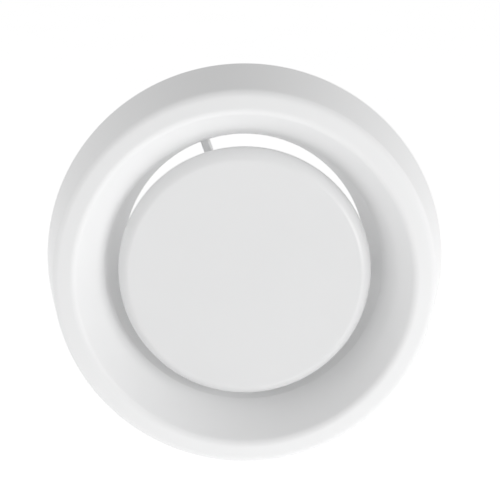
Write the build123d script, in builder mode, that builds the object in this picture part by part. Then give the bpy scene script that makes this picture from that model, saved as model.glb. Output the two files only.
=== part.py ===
"""Disc valve for the end of a round air duct, in millimetres.

The valve's axis is Y. The wall is the plane y = 0, the front of the valve faces -Y, and +Z is up.
A height is a distance in front of the wall, so what lies in the duct has a negative height.
"""

import os
from build123d import *

# Duct and spigot
duct_radius = 62.5
duct_clearance = 0.5
spigot_wall = 2.2
spigot_depth = 32.0
spigot_lead = 0.8
root_step = 1.0

# Throat and conical seat, inside the spigot
throat_inset = 1.7
throat_height = 14.9
seat_taper = 5.6
seat_depth = 13.2
seat_wall = 2.0
groove_width = 1.8

# Bell, rim and skirt
bell_flare = 11.9
bell_depth = 24.0
rim_width = 9.1
rim_fall = 1.7
skirt_taper = 5.9
ring_wall = 2.2
rim_bevel = 2.2
ridge_bevel = 1.8

# Bridge of radial arms that carries the hub
arm_count = 3
arm_lean = 19.5
arm_thickness = 3.2
arm_depth = 14.0
arm_lap = 0.8
hub_wall = 4.4
hub_stand = 1.6

# Foam seal round the root of the spigot, and the ribs that it sits on
seal_width = 6.0
seal_thickness = 6.0
seal_clearance = 0.15
rib_count = 8
rib_thickness = 1.6

# Disc
disc_lap = 0.7
disc_setting = 19.5
disc_wall = 2.0
edge_wall = 4.0
edge_round_width = 5.0
edge_round_height = 8.6
collar_radius = 9.5
collar_stand = 1.0
pillar_radius = 5.5
pillar_length = 11.0
web_count = 6
web_thickness = 1.6
web_end = 7.5
web_end_height = 1.2

# Stem, its screw and its lock nut
stem_radius = 8.0
stem_bore_radius = 5.0
stem_floor = 3.0
stem_tail = 13.0
thread_clearance = 0.08
journal_clearance = 0.05
pillar_end_gap = 0.5
screw_radius = 2.0
screw_grip = 8.5
screw_head_radius = 4.0
screw_head_height = 2.6
screw_hole_clearance = 0.3
pilot_clearance = 0.02
pilot_spare = 0.5
nut_across_flats = 27.0
nut_height = 9.0

# Radii that follow from the duct
spigot_radius = duct_radius - duct_clearance
spigot_bore_radius = spigot_radius - spigot_wall
root_radius = spigot_radius + root_step
throat_radius = spigot_bore_radius - throat_inset
seat_back_radius = throat_radius - seat_taper
ridge_radius = throat_radius + bell_flare
skirt_front_radius = ridge_radius + rim_width
skirt_back_radius = skirt_front_radius + skirt_taper
seal_inner_radius = root_radius + seal_clearance
seal_outer_radius = seal_inner_radius + seal_width
disc_radius = seat_back_radius + disc_lap
hub_bore_radius = stem_radius + thread_clearance
hub_radius = hub_bore_radius + hub_wall
stem_socket_radius = pillar_radius + journal_clearance

# Heights that follow from the throat, the seat and the disc's setting
ridge_height = throat_height + bell_depth
rim_height = ridge_height - rim_fall
arm_front = arm_lap - seat_depth
arm_back = arm_front - arm_depth
hub_front = arm_front + hub_stand
hub_back = arm_back - hub_stand
nut_back = hub_back - nut_height
face_height = disc_setting + edge_round_height
face_back = face_height - disc_wall
collar_back = disc_setting + collar_stand
pillar_back = collar_back - pillar_length
floor_front = pillar_back - pillar_end_gap
floor_back = floor_front - stem_floor
screw_front = pillar_back + screw_grip
stem_back = nut_back - stem_tail

# A section's x is the distance from the valve's axis, and its y is the height.
section = Plane(origin=(0, 0, 0), x_dir=(1, 0, 0), z_dir=(0, 0, -1))
wall_plane = Plane.XZ


def bell_middle(radius):
    """Height of the middle of the bell's wall at a radius."""
    slope = bell_depth / bell_flare
    bell_length = (bell_flare**2 + bell_depth**2) ** 0.5
    return throat_height + (radius - throat_radius) * slope - ring_wall / 2 * bell_length / bell_flare


# Bridge: radial arms and the hub that the stem screws through
with BuildPart() as bridge:
    arm_reach = spigot_radius - spigot_wall / 2
    with BuildSketch(wall_plane.offset(arm_back)):
        with PolarLocations(arm_reach / 2, arm_count, start_angle=90 + arm_lean):
            Rectangle(arm_reach, arm_thickness)
    extrude(amount=arm_depth)
    with BuildSketch(wall_plane.offset(hub_back)):
        Circle(hub_radius)
    extrude(amount=hub_front - hub_back)
    with BuildSketch(wall_plane.offset(hub_back)):
        Circle(hub_bore_radius)
    extrude(amount=hub_front - hub_back, mode=Mode.SUBTRACT)

# Valve ring: skirt, rim and bell are one skin of even wall, with the seat and the spigot behind it
with BuildPart() as valve_ring:
    with BuildSketch(section) as skin:
        with BuildLine():
            skirt_slope = skirt_taper / rim_height
            skirt_foot = (skirt_back_radius + ring_wall * skirt_slope, -ring_wall)
            rim_corner = (skirt_front_radius, rim_height)
            ridge_corner = (ridge_radius, ridge_height)
            Polyline(skirt_foot, rim_corner, ridge_corner, (throat_radius, throat_height))
            offset(amount=ring_wall, side=Side.LEFT)
        make_face()
        chamfer(skin.vertices().sort_by_distance(rim_corner)[0], rim_bevel)
        chamfer(skin.vertices().sort_by_distance(ridge_corner)[0], ridge_bevel)
        with Locations((skirt_back_radius, -ring_wall)):
            Rectangle(4 * ring_wall, 2 * ring_wall, mode=Mode.SUBTRACT)
        with BuildLine():
            seat_slope = seat_taper / (throat_height + seat_depth)
            groove_radius = spigot_bore_radius - groove_width
            groove_bottom = throat_height - (throat_radius + seat_wall - groove_radius) / seat_slope
            Polyline(
                (throat_radius, throat_height),
                (seat_back_radius, -seat_depth),
                (seat_back_radius + seat_wall, -seat_depth),
                (groove_radius, groove_bottom),
                (spigot_bore_radius, groove_bottom),
                (spigot_bore_radius, -spigot_depth),
                (spigot_radius - spigot_lead, -spigot_depth),
                (spigot_radius, spigot_lead - spigot_depth),
                (spigot_radius, 0),
                (root_radius, 0),
                (root_radius, bell_middle(root_radius)),
                close=True,
            )
        make_face()
    revolve(axis=Axis.Y)
    add(bridge.part)
    for rib_number in range(rib_count):
        with BuildSketch(section.rotated((0, rib_number * 360 / rib_count, 0))):
            with BuildLine():
                Polyline(
                    (spigot_radius, seal_thickness),
                    (seal_outer_radius, seal_thickness),
                    (seal_outer_radius, bell_middle(seal_outer_radius)),
                    (spigot_radius, bell_middle(spigot_radius)),
                    close=True,
                )
            make_face()
        extrude(amount=rib_thickness / 2, both=True)

# Foam seal: a ring cut from sheet, slipped over the root of the spigot
with BuildPart() as foam_seal:
    with BuildSketch(wall_plane):
        Circle(seal_outer_radius)
        Circle(seal_inner_radius, mode=Mode.SUBTRACT)
    extrude(amount=seal_thickness)

# Disc: a shallow cup with a rounded edge, and a boss with webs at its back
with BuildPart() as disc:
    face_radius = disc_radius - edge_round_width
    with BuildSketch(section):
        with BuildLine():
            edge_arc = EllipticalCenterArc((face_radius, disc_setting), edge_round_width, edge_round_height)
            Polyline(
                edge_arc @ 1,
                (0, face_height),
                (0, face_back),
                (disc_radius - edge_wall, face_back),
                (disc_radius - edge_wall, disc_setting),
                edge_arc @ 0,
            )
        make_face()
        with BuildLine():
            pilot_radius = screw_radius + pilot_clearance
            pilot_end = screw_front + pilot_spare
            Polyline(
                (0, face_back + disc_wall / 2),
                (collar_radius, face_back + disc_wall / 2),
                (collar_radius, collar_back),
                (pillar_radius, collar_back),
                (pillar_radius, pillar_back),
                (pilot_radius, pillar_back),
                (pilot_radius, pilot_end),
                (0, pilot_end),
                close=True,
            )
        make_face()
    revolve(axis=Axis.Y)
    for web_number in range(web_count):
        with BuildSketch(section.rotated((0, web_number * 360 / web_count, 0))):
            with BuildLine():
                web_radius = face_radius - web_end
                Polyline(
                    (pillar_radius, collar_back),
                    (collar_radius, collar_back),
                    (web_radius, face_back - web_end_height),
                    (web_radius, face_back + disc_wall / 2),
                    (pillar_radius, face_back + disc_wall / 2),
                    close=True,
                )
            make_face()
        extrude(amount=web_thickness / 2, both=True)

# Stem: a hollow threaded tube, with a floor for the screw; the thread's crest is its outside
with BuildPart() as stem:
    with BuildSketch(section):
        with BuildLine():
            Polyline(
                (stem_socket_radius, collar_back),
                (stem_radius, collar_back),
                (stem_radius, stem_back),
                (stem_bore_radius, stem_back),
                (stem_bore_radius, floor_back),
                (screw_radius + screw_hole_clearance, floor_back),
                (screw_radius + screw_hole_clearance, floor_front),
                (stem_socket_radius, floor_front),
                close=True,
            )
        make_face()
    revolve(axis=Axis.Y)

# Screw: a head that bears on the stem's floor, and a shank in the disc's pillar
with BuildPart() as stem_screw:
    with BuildSketch(section):
        with BuildLine():
            Polyline(
                (0, floor_back - screw_head_height),
                (screw_head_radius, floor_back - screw_head_height),
                (screw_head_radius, floor_back),
                (screw_radius, floor_back),
                (screw_radius, screw_front),
                (0, screw_front),
                close=True,
            )
        make_face()
    revolve(axis=Axis.Y)

# Lock nut: a plain hexagon
with BuildPart() as lock_nut:
    with BuildSketch(wall_plane.offset(nut_back)):
        RegularPolygon(nut_across_flats / 2, 6, major_radius=False)
        Circle(hub_bore_radius, mode=Mode.SUBTRACT)
    extrude(amount=nut_height)

valve_ring.part.label = "valve_ring"
foam_seal.part.label = "foam_seal"
disc.part.label = "disc"
stem.part.label = "stem"
stem_screw.part.label = "stem_screw"
lock_nut.part.label = "lock_nut"

os.makedirs("parts", exist_ok=True)
export_step(valve_ring.part, "parts/valve_ring.step")
export_step(foam_seal.part, "parts/foam_seal.step")
export_step(disc.part, "parts/disc.step")
export_step(stem.part, "parts/stem.step")
export_step(stem_screw.part, "parts/stem_screw.step")
export_step(lock_nut.part, "parts/lock_nut.step")
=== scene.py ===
"""Disc valve for the end of a round air duct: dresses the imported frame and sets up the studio.

The valve's axis is Y, its front faces -Y and the wall is the plane y = 0. Outlines are drawn in
millimetres, as (radius, height) with the height measured in front of the wall, and every mesh is in metres.
"""

import logging
import math
from collections.abc import Callable, Sequence
from dataclasses import dataclass
from enum import Enum

import bmesh
import bpy
from mathutils import Matrix, Vector


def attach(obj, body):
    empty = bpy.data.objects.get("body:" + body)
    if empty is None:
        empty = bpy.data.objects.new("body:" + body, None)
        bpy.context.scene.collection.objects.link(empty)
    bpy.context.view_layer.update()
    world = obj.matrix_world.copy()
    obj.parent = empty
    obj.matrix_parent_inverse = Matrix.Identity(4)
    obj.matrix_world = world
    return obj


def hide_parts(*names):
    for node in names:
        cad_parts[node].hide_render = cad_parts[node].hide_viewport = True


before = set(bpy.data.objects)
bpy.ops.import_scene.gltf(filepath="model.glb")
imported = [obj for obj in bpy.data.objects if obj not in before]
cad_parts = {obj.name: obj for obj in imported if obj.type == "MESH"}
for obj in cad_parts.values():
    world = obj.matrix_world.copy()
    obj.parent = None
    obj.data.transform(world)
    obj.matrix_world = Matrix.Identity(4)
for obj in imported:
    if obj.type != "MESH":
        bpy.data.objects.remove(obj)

log = logging.getLogger("disc_valve")

MM = 0.001
ON_AXIS = 1e-6
SHARP_ANGLE = math.radians(50)
ARC_STEP = math.radians(9)
HOLD_OF_ROUND = 0.25
HOLD_OF_STRETCH = 0.1

Point = tuple[float, float]
Colour = tuple[float, float, float]
Place = tuple[float, float, float]


class Body(Enum):
    """The moving bodies of the frame."""

    RING = "ring"
    STEM = "stem"
    DISC = "disc"
    LOCK_NUT = "lock_nut"


class Sweep(Enum):
    """Steps round a full turn of a lathed piece."""

    LARGE = 256
    MEDIUM = 128
    SMALL = 64


# Outlines


@dataclass(frozen=True)
class Corner:
    """One corner of an outline, in millimetres.

    Attributes:
        radius: Distance from the valve's axis.
        height: Distance in front of the wall.
        round: Radius of the arc that rounds the corner; 0 keeps it sharp.
    """

    radius: float
    height: float
    round: float = 0.0

    @property
    def point(self) -> Vector:
        """The corner as a flat vector."""
        return Vector((self.radius, self.height))


def rounded_outline(corners: Sequence[Corner], closed: bool) -> list[Point]:
    """Rounds the corners of an outline with arcs.

    A point beside each end of an arc holds the straight stretch flat under smooth shading.

    Args:
        corners: The outline's corners in order.
        closed: True if the last corner joins the first.

    Returns:
        The outline's points, in millimetres.
    """
    points: list[Point] = []
    last = len(corners) - 1
    for index, corner in enumerate(corners):
        here = corner.point
        at_end = not closed and index in (0, last)
        if at_end or corner.round <= 0:
            points.append(tuple(here))
            continue
        before = corners[index - 1].point - here
        after = corners[(index + 1) % len(corners)].point - here
        turn = math.pi - before.angle(after)
        reach = corner.round * math.tan(turn / 2)
        hold = min(HOLD_OF_ROUND * corner.round, HOLD_OF_STRETCH * min(before.length, after.length))
        before.normalize()
        after.normalize()
        centre = here + (before + after).normalized() * corner.round / math.cos(turn / 2)
        start = here + before * reach - centre
        end = here + after * reach - centre
        count = max(2, math.ceil(turn / ARC_STEP))
        points.append(tuple(here + before * (reach + hold)))
        for number in range(count + 1):
            share = number / count
            mixed = start * math.sin((1 - share) * turn) + end * math.sin(share * turn)
            points.append(tuple(centre + mixed / math.sin(turn)))
        points.append(tuple(here + after * (reach + hold)))
    return points


def shifted(start: Vector, end: Vector, distance: float) -> tuple[Vector, Vector]:
    """Moves a line to its left.

    Args:
        start: The line's first point.
        end: The line's last point.
        distance: How far it moves.

    Returns:
        The two points of the moved line.
    """
    along = (end - start).normalized()
    side = Vector((-along.y, along.x)) * distance
    return start + side, end + side


def crossing(first: tuple[Vector, Vector], second: tuple[Vector, Vector]) -> Vector:
    """Finds where two lines meet.

    Args:
        first: Two points of one line.
        second: Two points of the other.

    Returns:
        The point that both lines pass through.
    """
    run = first[1] - first[0]
    other = second[1] - second[0]
    between = second[0] - first[0]
    share = (between.x * other.y - between.y * other.x) / (run.x * other.y - run.y * other.x)
    return first[0] + run * share


# Meshes


def mesh_from(name: str, build: bmesh.types.BMesh) -> bpy.types.Mesh:
    """Turns a closed bmesh into a smooth mesh whose faces point outwards.

    Args:
        name: The mesh's name.
        build: The bmesh, which is freed.

    Returns:
        The mesh.
    """
    bmesh.ops.recalc_face_normals(build, faces=build.faces)
    mesh = bpy.data.meshes.new(name)
    build.to_mesh(mesh)
    build.free()
    mesh.shade_smooth()
    return mesh


def skin_loops(name: str, loops: Sequence[Sequence[Place]], closed: bool) -> bpy.types.Mesh:
    """Joins loops of points into one surface.

    Args:
        name: The mesh's name.
        loops: The loops in order; a loop of one point closes the surface as a pole.
        closed: True if the last loop joins the first.

    Returns:
        The mesh.
    """
    build = bmesh.new()
    rings = [[build.verts.new(place) for place in loop] for loop in loops]
    follow = rings[1:] + rings[:1] if closed else rings[1:]
    for near, far in zip(rings, follow):
        steps = max(len(near), len(far))
        for number in range(steps):
            after = (number + 1) % steps
            corners = [near[number % len(near)], near[after % len(near)], far[after % len(far)], far[number % len(far)]]
            build.faces.new(list(dict.fromkeys(corners)))
    return mesh_from(name, build)


def lathe(name: str, outline: Sequence[Point], sweep: Sweep) -> bpy.types.Mesh:
    """Turns an outline round the valve's axis.

    Args:
        name: The mesh's name.
        outline: The outline in millimetres; it is closed unless it starts and ends on the axis.
        sweep: Steps in a full turn.

    Returns:
        The mesh, in metres.
    """
    on_axis = outline[0][0] < ON_AXIS
    loops = []
    for radius, height in outline:
        steps = 1 if radius < ON_AXIS else sweep.value
        angles = [2 * math.pi * number / steps for number in range(steps)]
        loops.append([(radius * MM * math.cos(a), -height * MM, radius * MM * math.sin(a)) for a in angles])
    return skin_loops(name, loops, closed=not on_axis)


def plate(name: str, outline: Sequence[Point], thickness: float, edge: float) -> bpy.types.Mesh:
    """Makes a flat plate that stands radially on the +X side of the axis.

    Args:
        name: The mesh's name.
        outline: The plate's outline in millimetres.
        thickness: Its thickness, in millimetres.
        edge: Radius of its rounded edges, in millimetres.

    Returns:
        The mesh, in metres.
    """
    build = bmesh.new()
    half = thickness / 2
    corners = [build.verts.new((radius * MM, -height * MM, -half * MM)) for radius, height in outline]
    face = build.faces.new(corners)
    raised = bmesh.ops.extrude_face_region(build, geom=[face])
    moved = [item for item in raised["geom"] if isinstance(item, bmesh.types.BMVert)]
    bmesh.ops.translate(build, verts=moved, vec=(0, 0, thickness * MM))
    bmesh.ops.bevel(build, geom=list(build.edges), offset=edge * MM, segments=3, profile=0.5, affect="EDGES")
    return mesh_from(name, build)


def joined(name: str, meshes: Sequence[bpy.types.Mesh]) -> bpy.types.Mesh:
    """Gathers the meshes of one moulding and removes the separate ones.

    Args:
        name: The new mesh's name.
        meshes: The meshes to gather.

    Returns:
        The one mesh.
    """
    build = bmesh.new()
    for mesh in meshes:
        build.from_mesh(mesh)
        bpy.data.meshes.remove(mesh)
    whole = bpy.data.meshes.new(name)
    build.to_mesh(whole)
    build.free()
    whole.shade_smooth()
    whole.set_sharp_from_angle(angle=SHARP_ANGLE)
    return whole


def show(name: str, mesh: bpy.types.Mesh) -> bpy.types.Object:
    """Puts a mesh in the scene as an object at the origin."""
    thing = bpy.data.objects.new(name, mesh)
    bpy.context.scene.collection.objects.link(thing)
    return thing


# Geometry Nodes


class NodeTool:
    """A Geometry Nodes tree that turns one mesh into another."""

    def __init__(self, name: str, inputs: dict[str, str]) -> None:
        """Starts the tree.

        Args:
            name: The tree's name.
            inputs: Each input's name and socket type, besides the geometry.
        """
        self.tree = bpy.data.node_groups.new(name, "GeometryNodeTree")
        self.tree.interface.new_socket("Geometry", in_out="INPUT", socket_type="NodeSocketGeometry")
        self.tree.interface.new_socket("Geometry", in_out="OUTPUT", socket_type="NodeSocketGeometry")
        self.sockets: dict[str, str] = {}
        for label, kind in {**inputs, "Finish": "NodeSocketMaterial"}.items():
            socket = self.tree.interface.new_socket(label, in_out="INPUT", socket_type=kind)
            self.sockets[label] = socket.identifier
        self.given = self.add("NodeGroupInput")

    def add(self, kind: str, **settings: object) -> bpy.types.Node:
        """Adds a node.

        Args:
            kind: The node's type.
            **settings: Values for the node's own properties.

        Returns:
            The node.
        """
        node = self.tree.nodes.new(kind)
        for name, value in settings.items():
            setattr(node, name, value)
        return node

    def link(self, source: bpy.types.NodeSocket, target: bpy.types.NodeSocket) -> None:
        """Joins an output to an input."""
        self.tree.links.new(source, target)

    def math(self, operation: str, first: object, second: object) -> bpy.types.NodeSocket:
        """Adds a Math node.

        Args:
            operation: The node's operation.
            first: An output to link, or a number.
            second: An output to link, or a number.

        Returns:
            The node's output.
        """
        node = self.add("ShaderNodeMath", operation=operation)
        for socket, value in zip(node.inputs, (first, second)):
            if isinstance(value, bpy.types.NodeSocket):
                self.link(value, socket)
            else:
                socket.default_value = value
        return node.outputs[0]

    def close(self, geometry: bpy.types.NodeSocket) -> None:
        """Ends the tree in real geometry with its finish.

        Args:
            geometry: The output that holds the result.
        """
        realize = self.add("GeometryNodeRealizeInstances")
        paint = self.add("GeometryNodeSetMaterial")
        result = self.add("NodeGroupOutput")
        self.link(geometry, realize.inputs[0])
        self.link(realize.outputs[0], paint.inputs["Geometry"])
        self.link(self.given.outputs["Finish"], paint.inputs["Material"])
        self.link(paint.outputs[0], result.inputs[0])

    def run(self, mesh: bpy.types.Mesh, **values: object) -> bpy.types.Mesh:
        """Runs the tree on a mesh, which it uses up.

        Args:
            mesh: The mesh that the tree is given.
            **values: A value for each input, named with _ for a space.

        Returns:
            The result as a plain mesh.
        """
        holder = show(mesh.name, mesh)
        modifier = holder.modifiers.new(self.tree.name, "NODES")
        modifier.node_group = self.tree
        for name, value in values.items():
            modifier[self.sockets[name.replace("_", " ")]] = value
        shown = holder.evaluated_get(bpy.context.evaluated_depsgraph_get())
        result = bpy.data.meshes.new_from_object(shown)
        holder.modifiers.remove(modifier)
        bpy.data.objects.remove(holder)
        bpy.data.meshes.remove(mesh)
        return result


class PolarPattern(NodeTool):
    """Repeats a mesh round the valve's axis."""

    def __init__(self) -> None:
        """Builds the tree."""
        super().__init__("PolarPattern", {"Count": "NodeSocketInt", "Start": "NodeSocketFloat"})
        points = self.add("GeometryNodePoints")
        place = self.add("GeometryNodeInstanceOnPoints")
        turn = self.add("ShaderNodeCombineXYZ")
        number = self.add("GeometryNodeInputIndex")
        share = self.math("DIVIDE", number.outputs[0], self.given.outputs["Count"])
        angle = self.math("MULTIPLY_ADD", share, 2 * math.pi)
        self.link(self.given.outputs["Start"], angle.node.inputs[2])
        self.link(self.given.outputs["Count"], points.inputs["Count"])
        self.link(self.math("MULTIPLY", angle, -1.0), turn.inputs["Y"])
        self.link(points.outputs[0], place.inputs["Points"])
        self.link(self.given.outputs["Geometry"], place.inputs["Instance"])
        self.link(turn.outputs[0], place.inputs["Rotation"])
        self.close(place.outputs[0])


class ScrewRidge(NodeTool):
    """Winds a trapezoidal ridge round the valve's axis as a right-handed thread."""

    STEPS_A_TURN = 40
    LEAST_FADE = 0.05

    def __init__(self) -> None:
        """Builds the tree."""
        sizes = ("Turns", "Length", "Root", "Depth", "Lift", "Foot", "Crest")
        super().__init__("ScrewRidge", {size: "NodeSocketFloat" for size in sizes})
        given = self.given.outputs
        helix = self.add("GeometryNodeCurveSpiral")
        helix.inputs["Resolution"].default_value = self.STEPS_A_TURN
        helix.inputs["Reverse"].default_value = True
        self.link(given["Turns"], helix.inputs["Rotations"])
        self.link(given["Root"], helix.inputs["Start Radius"])
        self.link(given["Root"], helix.inputs["End Radius"])
        self.link(given["Length"], helix.inputs["Height"])
        upright = self.add("GeometryNodeSetCurveNormal", mode="Z_UP")
        self.link(helix.outputs[0], upright.inputs["Curve"])
        along = self.add("GeometryNodeSplineParameter")
        from_end = self.math("SUBTRACT", 0.5, self.math("ABSOLUTE", self.math("SUBTRACT", along.outputs[0], 0.5), 0.0))
        turns_in = self.math("MULTIPLY", from_end, given["Turns"])
        rise = self.math("MULTIPLY_ADD", turns_in, 2.0)
        rise.node.inputs[2].default_value = self.LEAST_FADE
        fade = self.math("MINIMUM", rise, 1.0)
        section = self.add("GeometryNodeCurvePrimitiveQuadrilateral", mode="TRAPEZOID")
        self.link(given["Depth"], section.inputs["Height"])
        self.link(given["Foot"], section.inputs["Bottom Width"])
        self.link(given["Crest"], section.inputs["Top Width"])
        section.inputs["Offset"].default_value = 0.0
        turned = self.add("GeometryNodeTransform")
        turned.inputs["Rotation"].default_value = (0.0, 0.0, math.radians(-90))
        lift = self.add("ShaderNodeCombineXYZ")
        self.link(given["Lift"], lift.inputs["X"])
        self.link(lift.outputs[0], turned.inputs["Translation"])
        self.link(section.outputs[0], turned.inputs["Geometry"])
        sweep = self.add("GeometryNodeCurveToMesh")
        sweep.inputs["Fill Caps"].default_value = True
        self.link(upright.outputs[0], sweep.inputs["Curve"])
        self.link(turned.outputs[0], sweep.inputs["Profile Curve"])
        self.link(fade, sweep.inputs["Scale"])
        laid = self.add("GeometryNodeTransform")
        laid.inputs["Rotation"].default_value = (math.radians(90), 0.0, 0.0)
        self.link(sweep.outputs[0], laid.inputs["Geometry"])
        self.close(laid.outputs[0])


# Finishes


class Paint:
    """A material under construction, with a Principled shader and Object coordinates."""

    def __init__(self, slot: str) -> None:
        """Starts the material.

        Args:
            slot: The name of its slot in the record.
        """
        self.material = bpy.data.materials.new(f"{slot}_look")
        self.material["slot"] = slot
        self.material.use_nodes = True
        self.tree = self.material.node_tree
        self.shader = self.tree.nodes["Principled BSDF"]
        self.place = self.tree.nodes.new("ShaderNodeTexCoord").outputs["Object"]

    def noise(self, scale: float, detail: float = 3.0, stretch: Place = (1, 1, 1)) -> bpy.types.NodeSocket:
        """Adds noise in the object's own space.

        Args:
            scale: Waves in a metre.
            detail: How many finer layers it has.
            stretch: Scale along each axis.

        Returns:
            The noise's value.
        """
        mapping = self.tree.nodes.new("ShaderNodeMapping")
        mapping.inputs["Scale"].default_value = stretch
        noise = self.tree.nodes.new("ShaderNodeTexNoise")
        noise.inputs["Scale"].default_value = scale
        noise.inputs["Detail"].default_value = detail
        self.tree.links.new(self.place, mapping.inputs["Vector"])
        self.tree.links.new(mapping.outputs[0], noise.inputs["Vector"])
        return noise.outputs[0]

    def cells(self, scale: float) -> bpy.types.NodeSocket:
        """Adds closed cells in the object's own space.

        Args:
            scale: Cells in a metre.

        Returns:
            The distance from the nearest cell's centre.
        """
        cells = self.tree.nodes.new("ShaderNodeTexVoronoi")
        cells.inputs["Scale"].default_value = scale
        self.tree.links.new(self.place, cells.inputs["Vector"])
        return cells.outputs["Distance"]

    def spread(self, value: bpy.types.NodeSocket, low: float, high: float) -> bpy.types.NodeSocket:
        """Maps the middle of a noise to a range.

        Args:
            value: The noise.
            low: Result where the noise is weak.
            high: Result where it is strong.

        Returns:
            The mapped value.
        """
        node = self.tree.nodes.new("ShaderNodeMapRange")
        node.inputs["From Min"].default_value = 0.3
        node.inputs["From Max"].default_value = 0.7
        node.inputs["To Min"].default_value = low
        node.inputs["To Max"].default_value = high
        self.tree.links.new(value, node.inputs["Value"])
        return node.outputs[0]

    def tint(self, value: bpy.types.NodeSocket, first: Colour, second: Colour) -> None:
        """Colours the surface between two shades.

        Args:
            value: What chooses the shade, from 0 to 1.
            first: Shade at 0.
            second: Shade at 1.
        """
        mix = self.tree.nodes.new("ShaderNodeMix")
        mix.data_type = "RGBA"
        mix.inputs["A"].default_value = (*first, 1.0)
        mix.inputs["B"].default_value = (*second, 1.0)
        self.tree.links.new(value, mix.inputs["Factor"])
        self.tree.links.new(mix.outputs["Result"], self.shader.inputs["Base Color"])

    def rough(self, value: bpy.types.NodeSocket) -> None:
        """Lets a value set the roughness."""
        self.tree.links.new(value, self.shader.inputs["Roughness"])

    def bump(self, value: bpy.types.NodeSocket, depth: float) -> None:
        """Raises the surface a little.

        Args:
            value: The height, from 0 to 1.
            depth: Height of 1, in millimetres.
        """
        node = self.tree.nodes.new("ShaderNodeBump")
        node.inputs["Strength"].default_value = 1.0
        node.inputs["Distance"].default_value = depth * MM
        self.tree.links.new(value, node.inputs["Height"])
        self.tree.links.new(node.outputs[0], self.shader.inputs["Normal"])

    def glow(self, centre: Place, reach: Place, low: float, high: float, full: float = 0.45) -> None:
        """Lets a soft oval patch give light.

        Args:
            centre: Middle of the patch, in metres.
            reach: Half its size along each axis, in metres.
            low: Light outside the patch.
            high: Light in its middle.
            full: Share of the reach, from the edge, at which the light is full.
        """
        mapping = self.tree.nodes.new("ShaderNodeMapping")
        mapping.vector_type = "TEXTURE"
        mapping.inputs["Location"].default_value = centre
        mapping.inputs["Scale"].default_value = reach
        oval = self.tree.nodes.new("ShaderNodeTexGradient")
        oval.gradient_type = "SPHERICAL"
        fade = self.tree.nodes.new("ShaderNodeMapRange")
        fade.interpolation_type = "SMOOTHSTEP"
        fade.inputs["From Max"].default_value = full
        fade.inputs["To Min"].default_value = low
        fade.inputs["To Max"].default_value = high
        self.tree.links.new(self.place, mapping.inputs["Vector"])
        self.tree.links.new(mapping.outputs[0], oval.inputs["Vector"])
        self.tree.links.new(oval.outputs["Fac"], fade.inputs["Value"])
        self.tree.links.new(fade.outputs[0], self.shader.inputs["Emission Strength"])


@dataclass(frozen=True)
class MouldedPlastic:
    """White moulded plastic, with a slight wave in its skin and an uneven gloss.

    Attributes:
        slot: The material's slot in the record.
        pale: Its lightest shade.
        deep: Its darkest shade.
        roughness: Lowest and highest roughness.
        gloss: Strength of its reflection.
        skin_depth: Depth of the wave in its skin, in millimetres.
        skin_scale: Waves in a metre.
    """

    slot: str
    pale: Colour
    deep: Colour
    roughness: Point
    gloss: float
    skin_depth: float
    skin_scale: float

    REFRACTION = 1.5
    TINT_SCALE = 22
    ROUGH_SCALE = 45

    def make(self) -> bpy.types.Material:
        """Builds the material."""
        paint = Paint(self.slot)
        paint.shader.inputs["IOR"].default_value = self.REFRACTION
        paint.shader.inputs["Specular IOR Level"].default_value = self.gloss
        paint.tint(paint.spread(paint.noise(self.TINT_SCALE, 2), 0, 1), self.pale, self.deep)
        paint.rough(paint.spread(paint.noise(self.ROUGH_SCALE), *self.roughness))
        paint.bump(paint.noise(self.skin_scale), self.skin_depth)
        return paint.material


@dataclass(frozen=True)
class ZincSteel:
    """Zinc-plated steel with fine turning marks.

    Attributes:
        slot: The material's slot in the record.
        pale: Its lightest shade.
        deep: Its darkest shade.
        roughness: Lowest and highest roughness.
    """

    slot: str
    pale: Colour
    deep: Colour
    roughness: Point

    TINT_SCALE = 900
    ROUGH_SCALE = 1500
    TURNED_SCALE = 2500
    TURNED_STRETCH = (0.2, 4.0, 0.2)
    TURNED_DEPTH = 0.01

    def make(self) -> bpy.types.Material:
        """Builds the material."""
        paint = Paint(self.slot)
        paint.shader.inputs["Metallic"].default_value = 1.0
        paint.tint(paint.spread(paint.noise(self.TINT_SCALE), 0, 1), self.pale, self.deep)
        paint.rough(paint.spread(paint.noise(self.ROUGH_SCALE), *self.roughness))
        paint.bump(paint.noise(self.TURNED_SCALE, 2, self.TURNED_STRETCH), self.TURNED_DEPTH)
        return paint.material


@dataclass(frozen=True)
class CutFoam:
    """Closed-cell foam with a cut face.

    Attributes:
        slot: The material's slot in the record.
        pale: Shade of the cell walls.
        deep: Shade of the open cells, darker as painted shade in their hollows.
        cell: Width of a cell, in millimetres.
        cell_depth: Depth of a cell, in millimetres.
    """

    slot: str
    pale: Colour
    deep: Colour
    cell: float
    cell_depth: float

    ROUGH_SCALE = 600
    ROUGHNESS = (0.8, 0.95)

    def make(self) -> bpy.types.Material:
        """Builds the material."""
        paint = Paint(self.slot)
        cells = paint.cells(1 / (self.cell * MM))
        # The open cells are painted darker where the bump sinks them: painted shade in their hollows.
        paint.tint(cells, self.deep, self.pale)
        paint.rough(paint.spread(paint.noise(self.ROUGH_SCALE), *self.ROUGHNESS))
        paint.bump(cells, self.cell_depth)
        return paint.material


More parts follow.
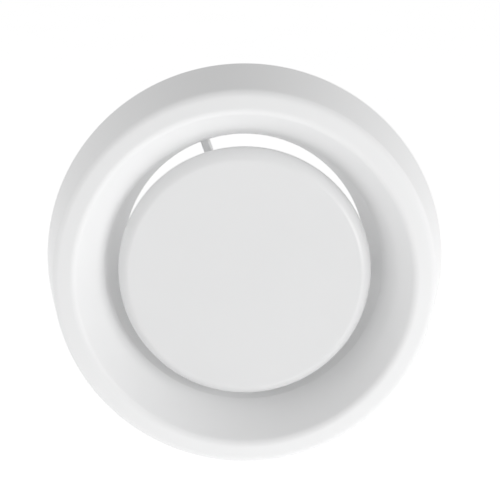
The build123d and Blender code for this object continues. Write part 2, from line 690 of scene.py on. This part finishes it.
RING_PLASTIC = MouldedPlastic(
    "ring_plastic", (0.855, 0.858, 0.861), (0.84, 0.843, 0.846), (0.44, 0.52), 0.2, 0.003, 260
)
# The disc's shades are set darker than the ring's: painted shade that dims the disc's face against the rim.
SHADED_DISC_PLASTIC = MouldedPlastic(
    "disc_plastic", (0.76, 0.763, 0.766), (0.745, 0.748, 0.751), (0.30, 0.36), 0.5, 0.003, 320
)
STEM_PLASTIC = MouldedPlastic("stem_plastic", (0.78, 0.785, 0.78), (0.74, 0.745, 0.74), (0.38, 0.5), 0.4, 0.02, 600)
NUT_PLASTIC = MouldedPlastic("nut_plastic", (0.78, 0.785, 0.78), (0.74, 0.745, 0.74), (0.42, 0.55), 0.4, 0.025, 900)
SCREW_STEEL = ZincSteel("screw_steel", (0.66, 0.67, 0.68), (0.52, 0.53, 0.55), (0.22, 0.38))
SEAL_FOAM = CutFoam("seal_foam", (0.11, 0.112, 0.116), (0.03, 0.031, 0.033), 0.7, 0.25)


def dressed(name: str, node: str, mesh: bpy.types.Mesh, finish: bpy.types.Material, body: Body) -> bpy.types.Object:
    """Shows a finished mesh in place of a CAD node.

    Args:
        name: The piece's name.
        node: The node that it stands for.
        mesh: Its mesh.
        finish: Its material, which keeps the name of its slot in the record.
        body: The body that it moves with.

    Returns:
        The piece.
    """
    mesh.materials.clear()
    mesh.materials.append(finish)
    piece = show(name, mesh)
    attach(piece, body.value)
    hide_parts(node)
    log.info("%s: %d faces on %s", name, len(mesh.polygons), body.value)
    return piece


# Sub-assemblies


@dataclass
class ValveRing:
    """The moulded ring: skirt, rim, bell, seat and spigot, with the bridge that carries the stem.

    Attributes are sizes in millimetres, as in the part's source, with the rounds that it leaves out.
    """

    spigot_radius: float = 62.0
    spigot_wall: float = 2.2
    spigot_depth: float = 32.0
    spigot_lead: float = 0.8
    root_step: float = 1.0
    throat_inset: float = 1.7
    throat_height: float = 14.9
    seat_taper: float = 5.6
    seat_depth: float = 13.2
    seat_wall: float = 2.0
    groove_width: float = 1.8
    bell_flare: float = 11.9
    bell_depth: float = 24.0
    rim_width: float = 9.1
    rim_fall: float = 1.7
    skirt_taper: float = 5.9
    wall: float = 2.2
    rim_round: float = 3.8
    ridge_round: float = 3.0
    edge_round: float = 0.4
    inner_round: float = 0.8
    throat_round: float = 0.3
    arm_count: int = 3
    arm_lean: float = 19.5
    arm_thickness: float = 3.2
    arm_depth: float = 14.0
    arm_lap: float = 0.8
    arm_round: float = 0.5
    hub_radius: float = 12.48
    hub_bore: float = 8.08
    hub_stand: float = 1.6
    hub_lead: float = 0.8
    rib_count: int = 8
    rib_thickness: float = 1.6
    rib_radius: float = 69.15
    rib_height: float = 6.0
    rib_round: float = 0.25

    @property
    def throat(self) -> Vector:
        """Where the bell ends and the seat starts."""
        return Vector((self.spigot_radius - self.spigot_wall - self.throat_inset, self.throat_height))

    @property
    def ridge(self) -> Vector:
        """Where the bell meets the rim."""
        return self.throat + Vector((self.bell_flare, self.bell_depth))

    @property
    def shoulder(self) -> Vector:
        """Where the rim meets the skirt."""
        return self.ridge + Vector((self.rim_width, -self.rim_fall))

    @property
    def foot(self) -> Vector:
        """The skirt's back edge, on the wall."""
        return Vector((self.shoulder.x + self.skirt_taper, 0.0))

    @property
    def arm_front(self) -> float:
        """Height of the arms' front edge."""
        return self.arm_lap - self.seat_depth

    @property
    def arm_back(self) -> float:
        """Height of the arms' back edge."""
        return self.arm_front - self.arm_depth

    def bell_back(self, radius: float) -> float:
        """Height of the bell's back at a radius."""
        start, end = shifted(self.ridge, self.throat, self.wall)
        return start.y + (radius - start.x) * (end.y - start.y) / (end.x - start.x)

    def outline(self) -> list[Corner]:
        """Draws the ring's section."""
        edge, lead, inner = self.edge_round, self.edge_round / 2, self.inner_round
        bore = self.spigot_radius - self.spigot_wall
        root = self.spigot_radius + self.root_step
        seat_back = self.throat + Vector((-self.seat_taper, -self.seat_depth - self.throat_height))
        groove = bore - self.groove_width
        seat_slope = self.seat_taper / (self.throat_height + self.seat_depth)
        groove_bottom = self.throat_height - (self.throat.x + self.seat_wall - groove) / seat_slope
        skirt_back = shifted(self.foot, self.shoulder, self.wall)
        rim_back = shifted(self.shoulder, self.ridge, self.wall)
        bell_back = shifted(self.ridge, self.throat, self.wall)
        bell_corner = crossing(bell_back, rim_back)
        rim_corner = crossing(rim_back, skirt_back)
        foot_inside = crossing(skirt_back, (Vector((0, 0)), Vector((1, 0))))
        return [
            Corner(*self.foot, edge),
            Corner(*self.shoulder, self.rim_round),
            Corner(*self.ridge, self.ridge_round),
            Corner(*self.throat, self.throat_round),
            Corner(*seat_back, edge),
            Corner(seat_back.x + self.seat_wall, seat_back.y, edge),
            Corner(groove, groove_bottom, edge),
            Corner(bore, groove_bottom, edge),
            Corner(bore, -self.spigot_depth, edge),
            Corner(self.spigot_radius - self.spigot_lead, -self.spigot_depth, lead),
            Corner(self.spigot_radius, self.spigot_lead - self.spigot_depth, lead),
            Corner(self.spigot_radius, 0, lead),
            Corner(root, 0, lead),
            Corner(root, self.bell_back(root), inner),
            Corner(*bell_corner, inner),
            Corner(*rim_corner, inner),
            Corner(*foot_inside, edge),
        ]

    def hub_outline(self) -> list[Corner]:
        """Draws the hub's section."""
        edge, lead = self.edge_round, self.edge_round / 2
        front = self.arm_front + self.hub_stand
        back = self.arm_back - self.hub_stand
        return [
            Corner(self.hub_radius, back, edge),
            Corner(self.hub_radius, front, edge),
            Corner(self.hub_bore + self.hub_lead, front, lead),
            Corner(self.hub_bore, front - self.hub_lead, lead),
            Corner(self.hub_bore, back + self.hub_lead, lead),
            Corner(self.hub_bore + self.hub_lead, back, lead),
        ]

    def arm(self) -> bpy.types.Mesh:
        """Makes one arm, from inside the hub's wall to inside the spigot's."""
        inner = (self.hub_bore + self.hub_radius) / 2
        outer = self.spigot_radius - self.spigot_wall / 2
        corners = [(inner, self.arm_back), (outer, self.arm_back), (outer, self.arm_front), (inner, self.arm_front)]
        return plate("arm", corners, self.arm_thickness, self.arm_round)

    def rib(self) -> bpy.types.Mesh:
        """Makes one of the ribs that the seal sits on."""
        inner = self.spigot_radius
        bell = self.wall / 2
        corners = [
            (inner, self.rib_height),
            (self.rib_radius, self.rib_height),
            (self.rib_radius, self.bell_back(self.rib_radius) + bell),
            (inner, self.bell_back(inner) + bell),
        ]
        return plate("rib", corners, self.rib_thickness, self.rib_round)

    def build(self, pattern: PolarPattern, finish: bpy.types.Material) -> bpy.types.Mesh:
        """Makes the whole moulding.

        Args:
            pattern: The tree that repeats the arms and ribs.
            finish: The ring's material.

        Returns:
            The mesh.
        """
        arm_start = math.radians(90 + self.arm_lean)
        return joined(
            "valve_ring",
            [
                lathe("ring_skin", rounded_outline(self.outline(), closed=True), Sweep.LARGE),
                lathe("hub", rounded_outline(self.hub_outline(), closed=True), Sweep.MEDIUM),
                pattern.run(self.arm(), Count=self.arm_count, Start=arm_start, Finish=finish),
                pattern.run(self.rib(), Count=self.rib_count, Start=0.0, Finish=finish),
            ],
        )

    def dress(self, pattern: PolarPattern) -> bpy.types.Object:
        """Shows the ring in its finish."""
        finish = RING_PLASTIC.make()
        return dressed("moulded_ring", "valve_ring", self.build(pattern, finish), finish, Body.RING)


@dataclass
class FoamSeal:
    """The ring of foam round the root of the spigot, in millimetres."""

    inner_radius: float = 63.15
    width: float = 6.0
    thickness: float = 6.0
    edge_round: float = 0.35

    def build(self) -> bpy.types.Mesh:
        """Makes the seal."""
        outer = self.inner_radius + self.width
        corners = [
            Corner(self.inner_radius, 0, self.edge_round),
            Corner(outer, 0, self.edge_round),
            Corner(outer, self.thickness, self.edge_round),
            Corner(self.inner_radius, self.thickness, self.edge_round),
        ]
        return lathe("foam_seal", rounded_outline(corners, closed=True), Sweep.LARGE)

    def dress(self) -> bpy.types.Object:
        """Shows the seal in its finish."""
        return dressed("foam_ring", "foam_seal", self.build(), SEAL_FOAM.make(), Body.RING)


@dataclass
class Disc:
    """The disc: a shallow cup with a boss and webs behind its face, in millimetres."""

    radius: float = 53.2
    setting: float = 19.5
    wall: float = 2.0
    edge_wall: float = 4.0
    edge_round_width: float = 5.0
    edge_round_height: float = 8.6
    edge_steps: int = 18
    gate_radius: float = 4.4
    gate_depth: float = 0.07
    gate_steps: int = 6
    flat_shares: Point = (0.5, 0.97)
    collar_radius: float = 9.5
    collar_stand: float = 1.0
    pillar_radius: float = 5.5
    pillar_length: float = 11.0
    pilot_radius: float = 2.02
    pilot_end: float = 18.5
    web_count: int = 6
    web_thickness: float = 1.6
    web_end: float = 7.5
    web_end_height: float = 1.2
    corner_round: float = 0.4
    fillet: float = 0.8

    @property
    def face(self) -> float:
        """Height of the face."""
        return self.setting + self.edge_round_height

    @property
    def face_radius(self) -> float:
        """Radius where the face starts to turn into the edge."""
        return self.radius - self.edge_round_width

    def front(self) -> list[Corner]:
        """Draws the face with its gate mark, and the edge down to its rounded lip."""
        corners = []
        for number in range(self.gate_steps + 1):
            share = number / self.gate_steps
            dip = self.gate_depth * (0.5 + 0.5 * math.cos(math.pi * share))
            corners.append(Corner(self.gate_radius * share, self.face - dip))
        flat = [self.gate_radius + (self.face_radius - self.gate_radius) * share for share in self.flat_shares]
        corners += [Corner(radius, self.face) for radius in flat]
        for number in range(self.edge_steps):
            angle = math.pi / 2 * (1 - number / self.edge_steps)
            across = self.face_radius + self.edge_round_width * math.cos(angle)
            corners.append(Corner(across, self.setting + self.edge_round_height * math.sin(angle)))
        return corners

    def outline(self) -> list[Corner]:
        """Draws the disc's section, from the middle of the face round to the pilot hole."""
        back = self.face - self.wall
        collar_back = self.setting + self.collar_stand
        pillar_back = collar_back - self.pillar_length
        return [
            *self.front(),
            Corner(self.radius, self.setting, self.corner_round),
            Corner(self.radius - self.edge_wall, self.setting, self.corner_round),
            Corner(self.radius - self.edge_wall, back, self.fillet),
            Corner(self.collar_radius, back, self.fillet),
            Corner(self.collar_radius, collar_back, self.corner_round),
            Corner(self.pillar_radius, collar_back, self.corner_round / 2),
            Corner(self.pillar_radius, pillar_back, self.corner_round),
            Corner(self.pilot_radius, pillar_back, self.corner_round / 2),
            Corner(self.pilot_radius, self.pilot_end, self.corner_round / 2),
            Corner(0, self.pilot_end),
        ]

    def web(self) -> bpy.types.Mesh:
        """Makes one web between the boss and the face."""
        back = self.face - self.wall
        inside = back + self.wall / 2
        end = self.face_radius - self.web_end
        corners = [
            (self.pillar_radius, self.setting + self.collar_stand),
            (self.collar_radius, self.setting + self.collar_stand),
            (end, back - self.web_end_height),
            (end, inside),
            (self.pillar_radius, inside),
        ]
        return plate("web", corners, self.web_thickness, self.corner_round / 2)

    def build(self, pattern: PolarPattern, finish: bpy.types.Material) -> bpy.types.Mesh:
        """Makes the whole moulding.

        Args:
            pattern: The tree that repeats the webs.
            finish: The disc's material.

        Returns:
            The mesh.
        """
        cup = lathe("disc_cup", rounded_outline(self.outline(), closed=False), Sweep.LARGE)
        webs = pattern.run(self.web(), Count=self.web_count, Start=0.0, Finish=finish)
        return joined("disc", [cup, webs])

    def dress(self, pattern: PolarPattern) -> bpy.types.Object:
        """Shows the disc in its finish."""
        finish = SHADED_DISC_PLASTIC.make()
        return dressed("moulded_disc", "disc", self.build(pattern, finish), finish, Body.DISC)


@dataclass
class Stem:
    """The hollow stem with its thread, in millimetres."""

    crest_radius: float = 8.0
    thread_depth: float = 1.35
    thread_pitch: float = 4.0
    thread_foot: float = 2.3
    thread_crest: float = 1.3
    thread_sink: float = 0.3
    front: float = 20.5
    plain_length: float = 4.5
    back: float = -50.0
    tail: float = 1.0
    lead: float = 0.8
    bore_radius: float = 5.0
    socket_radius: float = 5.55
    floor_front: float = 9.0
    floor_back: float = 6.0
    hole_radius: float = 2.3
    edge_round: float = 0.25

    @property
    def root_radius(self) -> float:
        """Radius at the bottom of the thread."""
        return self.crest_radius - self.thread_depth

    def outline(self) -> list[Corner]:
        """Draws the tube's section under the thread."""
        edge = self.edge_round
        plain_back = self.front - self.plain_length
        return [
            Corner(self.socket_radius, self.front, edge),
            Corner(self.crest_radius, self.front, edge),
            Corner(self.crest_radius, plain_back, edge),
            Corner(self.root_radius, plain_back - self.thread_depth, edge),
            Corner(self.root_radius, self.back + self.lead, edge),
            Corner(self.root_radius - self.lead, self.back, edge),
            Corner(self.bore_radius, self.back, edge),
            Corner(self.bore_radius, self.floor_back, edge),
            Corner(self.hole_radius, self.floor_back, edge),
            Corner(self.hole_radius, self.floor_front, edge),
            Corner(self.socket_radius, self.floor_front, edge),
        ]

    def build(self, ridge: ScrewRidge, finish: bpy.types.Material) -> bpy.types.Mesh:
        """Makes the tube with its thread.

        Args:
            ridge: The tree that winds the thread.
            finish: The stem's material.

        Returns:
            The mesh.
        """
        start = self.back + self.tail + self.thread_foot / 2
        length = self.front - self.plain_length - start
        thread = ridge.run(
            bpy.data.meshes.new("thread"),
            Turns=length / self.thread_pitch,
            Length=length * MM,
            Root=self.root_radius * MM,
            Depth=(self.thread_depth + self.thread_sink) * MM,
            Lift=(self.thread_depth - self.thread_sink) / 2 * MM,
            Foot=self.thread_foot * MM,
            Crest=self.thread_crest * MM,
            Finish=finish,
        )
        thread.transform(Matrix.Translation((0, -start * MM, 0)))
        tube = lathe("stem_tube", rounded_outline(self.outline(), closed=True), Sweep.MEDIUM)
        return joined("stem", [tube, thread])

    def dress(self, ridge: ScrewRidge) -> bpy.types.Object:
        """Shows the stem in its finish."""
        finish = STEM_PLASTIC.make()
        return dressed("threaded_stem", "stem", self.build(ridge, finish), finish, Body.STEM)


@dataclass
class StemScrew:
    """The screw that holds the disc on its stem, in millimetres."""

    shank_radius: float = 2.0
    tip: float = 18.0
    tip_length: float = 2.4
    tip_radius: float = 0.5
    head_radius: float = 4.0
    head_front: float = 6.0
    head_height: float = 2.6
    dome_height: float = 1.3
    dome_width: float = 0.95
    dome_sweep: float = 0.92
    dome_steps: int = 8
    recess_width: float = 0.9
    recess_length: float = 4.2
    recess_depth: float = 1.3
    edge_round: float = 0.15

    def outline(self) -> list[Corner]:
        """Draws the screw's section, from the middle of its head to its tip."""
        back = self.head_front - self.head_height
        corners = []
        for number in range(self.dome_steps + 1):
            share = number / self.dome_steps
            rise = self.dome_height * (1 - math.sqrt(1 - (self.dome_sweep * share) ** 2))
            corners.append(Corner(self.head_radius * self.dome_width * share, back + rise))
        return [
            *corners,
            Corner(self.head_radius, back + self.dome_height, self.edge_round),
            Corner(self.head_radius, self.head_front, self.edge_round),
            Corner(self.shank_radius, self.head_front, self.edge_round),
            Corner(self.shank_radius, self.tip - self.tip_length, self.edge_round),
            Corner(self.tip_radius, self.tip, self.edge_round),
            Corner(0, self.tip),
        ]

    def recess(self) -> bpy.types.Object:
        """Makes the cross that is cut into the head."""
        build = bmesh.new()
        centre = self.head_front - self.head_height
        for width, length in ((self.recess_width, self.recess_length), (self.recess_length, self.recess_width)):
            size = Matrix.Diagonal((width * MM, 2 * self.recess_depth * MM, length * MM, 1))
            bmesh.ops.create_cube(build, size=1.0, matrix=Matrix.Translation((0, -centre * MM, 0)) @ size)
        return show("recess", mesh_from("recess", build))

    def build(self) -> bpy.types.Mesh:
        """Makes the screw with its cross recess."""
        blank = show("blank", lathe("screw_blank", rounded_outline(self.outline(), closed=False), Sweep.SMALL))
        cutter = self.recess()
        cut = blank.modifiers.new("recess", "BOOLEAN")
        cut.object = cutter
        cut.operation = "DIFFERENCE"
        cut.solver = "EXACT"
        cut.use_self = True
        shown = blank.evaluated_get(bpy.context.evaluated_depsgraph_get())
        mesh = bpy.data.meshes.new_from_object(shown)
        for helper in (blank, cutter):
            spent = helper.data
            bpy.data.objects.remove(helper)
            bpy.data.meshes.remove(spent)
        return joined("stem_screw", [mesh])

    def dress(self) -> bpy.types.Object:
        """Shows the screw in its finish."""
        return dressed("cross_screw", "stem_screw", self.build(), SCREW_STEEL.make(), Body.DISC)


@dataclass
class LockNut:
    """The hexagonal nut that holds the stem's setting, in millimetres."""

    flat_radius: float = 13.5
    bore_radius: float = 8.08
    front: float = -28.0
    height: float = 9.0
    end_inset: float = 0.2
    corner_stand: float = 1.8
    cut_slope: float = 1.7
    bore_lead: float = 0.6
    side_depths: tuple[float, ...] = (0.12, 0.3, 0.5, 0.7, 0.9, 1.1, 1.3, 1.6)
    sharp_angle: float = 22.0

    def side_radius(self, angle: float, depth: float) -> float:
        """Gives the nut's radius where its turned corner meets its flats.

        Args:
            angle: Angle round the axis, in radians.
            depth: Distance from the nearer end.

        Returns:
            The radius.
        """
        sixth = math.pi / 3
        hexagon = self.flat_radius / math.cos(angle % sixth - sixth / 2)
        turned = self.flat_radius - self.end_inset + self.cut_slope * depth
        return min(hexagon, turned, self.flat_radius + self.corner_stand)

    def loop(self, radius: Callable[[float], float], height: float) -> list[Place]:
        """Draws one loop round the axis.

        Args:
            radius: Gives the radius at an angle.
            height: Height in front of the wall.

        Returns:
            The loop's points, in metres.
        """
        steps = Sweep.MEDIUM.value * 3 // 2
        angles = [2 * math.pi * number / steps for number in range(steps)]
        return [(radius(a) * MM * math.cos(a), -height * MM, radius(a) * MM * math.sin(a)) for a in angles]

    def build(self) -> bpy.types.Mesh:
        """Makes the nut."""
        back = self.front - self.height
        loops = [
            self.loop(lambda angle: self.bore_radius, back + self.bore_lead),
            self.loop(lambda angle: self.bore_radius, self.front - self.bore_lead),
            self.loop(lambda angle: self.bore_radius + self.bore_lead, self.front),
        ]
        depths = (0.0, *self.side_depths)
        sides = [(depth, self.front - depth) for depth in depths]
        sides += [(depth, back + depth) for depth in reversed(depths)]
        loops += [self.loop(lambda angle: self.side_radius(angle, depth), height) for depth, height in sides]
        loops.append(self.loop(lambda angle: self.bore_radius + self.bore_lead, back))
        nut = skin_loops("lock_nut", loops, closed=True)
        nut.set_sharp_from_angle(angle=math.radians(self.sharp_angle))
        return nut

    def dress(self) -> bpy.types.Object:
        """Shows the nut in its finish."""
        return dressed("hexagon_nut", "lock_nut", self.build(), NUT_PLASTIC.make(), Body.LOCK_NUT)


# Studio


@dataclass(frozen=True)
class Softbox:
    """A square area light.

    Attributes:
        name: The light's name.
        place: Where it stands, in metres.
        width: Its width, in metres.
        power: Its power, in watts.
    """

    name: str
    place: Place
    width: float
    power: float

    def light(self) -> None:
        """Puts the light in the scene, aimed at the valve and unseen by the camera."""
        lamp = bpy.data.lights.new(self.name, "AREA")
        lamp.shape = "SQUARE"
        lamp.size = self.width
        lamp.energy = self.power
        holder = bpy.data.objects.new(self.name, lamp)
        holder.location = self.place
        holder.rotation_euler = (-Vector(self.place)).to_track_quat("-Z", "Y").to_euler()
        holder.visible_camera = False
        bpy.context.scene.collection.objects.link(holder)


@dataclass
class Studio:
    """The floor, the light and the camera.

    Attributes:
        distance: From the camera to the wall's plane on the axis, in metres.
        elevation: The camera's height above the axis, in degrees.
        lens: Focal length, in millimetres.
        shift: Sideways and upward shift of the lens.
        floor_height: Height of the floor, in metres.
        floor_width: Width of the floor, in metres.
        paper_pale: The floor's lightest shade.
        paper_deep: The floor's darkest shade.
        paper_scale: Waves of shade in a metre of floor.
        paper_roughness: The floor's roughness.
        floor_glow: Light that the floor gives behind the valve.
        floor_rest: Light that the rest of the floor gives.
        glow_centre: Middle of the floor's glow, in metres.
        glow_reach: Half the glow's width and depth, in metres.
        sky: Light from all round.
        tone: Gamma that lifts the shades.
        softboxes: The area lights.
    """

    distance: float = 0.8
    elevation: float = 14.0
    lens: float = 133.5
    shift: Point = (0.0108, 0.0184)
    floor_height: float = -0.6
    floor_width: float = 40.0
    paper_pale: Colour = (0.93, 0.93, 0.93)
    paper_deep: Colour = (0.91, 0.91, 0.91)
    paper_scale: float = 3.0
    paper_roughness: float = 0.9
    floor_glow: float = 0.6
    floor_rest: float = 0.08
    glow_centre: Point = (0.0, 4.2)
    glow_reach: Point = (2.6, 7.0)
    sky: float = 0.43
    tone: float = 1.4
    softboxes: tuple[Softbox, ...] = (
        Softbox("right_key", (1.54, -1.84, 0.2), 0.6, 12.8),
        Softbox("right_flank", (2.08, -1.2, 0.2), 0.6, 7.4),
        Softbox("right_low", (1.6, -1.6, -0.42), 0.6, 2.8),
        Softbox("left_low", (-1.6, -1.6, -0.42), 0.6, 1.2),
        Softbox("left_side", (-2.2, 0.0, 0.2), 1.0, 10.0),
        Softbox("right_back", (2.0, 0.9, 0.3), 1.0, 6.2),
    )

    def floor(self) -> None:
        """Lays a plain pale floor."""
        build = bmesh.new()
        bmesh.ops.create_grid(build, x_segments=1, y_segments=1, size=self.floor_width / 2)
        bmesh.ops.translate(build, verts=build.verts, vec=(0, 0, self.floor_height))
        sheet = show("floor", mesh_from("floor", build))
        paint = Paint("floor_paper")
        paint.tint(paint.spread(paint.noise(self.paper_scale), 0, 1), self.paper_pale, self.paper_deep)
        paint.shader.inputs["Roughness"].default_value = self.paper_roughness
        paint.shader.inputs["Emission Color"].default_value = (1, 1, 1, 1)
        centre = (*self.glow_centre, self.floor_height)
        paint.glow(centre, (*self.glow_reach, 1.0), self.floor_rest, self.floor_glow)
        sheet.data.materials.append(paint.material)

    def lights(self) -> None:
        """Sets the sky and the softboxes."""
        world = bpy.data.worlds.new("studio")
        world.use_nodes = True
        world.node_tree.nodes["Background"].inputs["Color"].default_value = (1, 1, 1, 1)
        world.node_tree.nodes["Background"].inputs["Strength"].default_value = self.sky
        bpy.context.scene.world = world
        for softbox in self.softboxes:
            softbox.light()

    def camera(self) -> None:
        """Sets the camera at the photograph's viewing angle."""
        lens = bpy.data.cameras.new("camera")
        lens.lens = self.lens
        lens.shift_x, lens.shift_y = self.shift
        holder = bpy.data.objects.new("camera", lens)
        rise = math.radians(self.elevation)
        holder.location = (0, -self.distance * math.cos(rise), self.distance * math.sin(rise))
        holder.rotation_euler = (math.pi / 2 - rise, 0, 0)
        bpy.context.scene.collection.objects.link(holder)
        bpy.context.scene.camera = holder
        bpy.context.scene.view_settings.view_transform = "Standard"
        bpy.context.scene.view_settings.gamma = self.tone

    def build(self) -> None:
        """Sets up the whole studio."""
        self.floor()
        self.lights()
        self.camera()


def main() -> None:
    """Dresses the valve and sets the studio."""
    logging.basicConfig(level=logging.INFO, format="%(message)s")
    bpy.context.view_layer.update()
    pattern = PolarPattern()
    ValveRing().dress(pattern)
    FoamSeal().dress()
    Disc().dress(pattern)
    Stem().dress(ScrewRidge())
    StemScrew().dress()
    LockNut().dress()
    Studio().build()


if __name__ == "__main__":
    main()
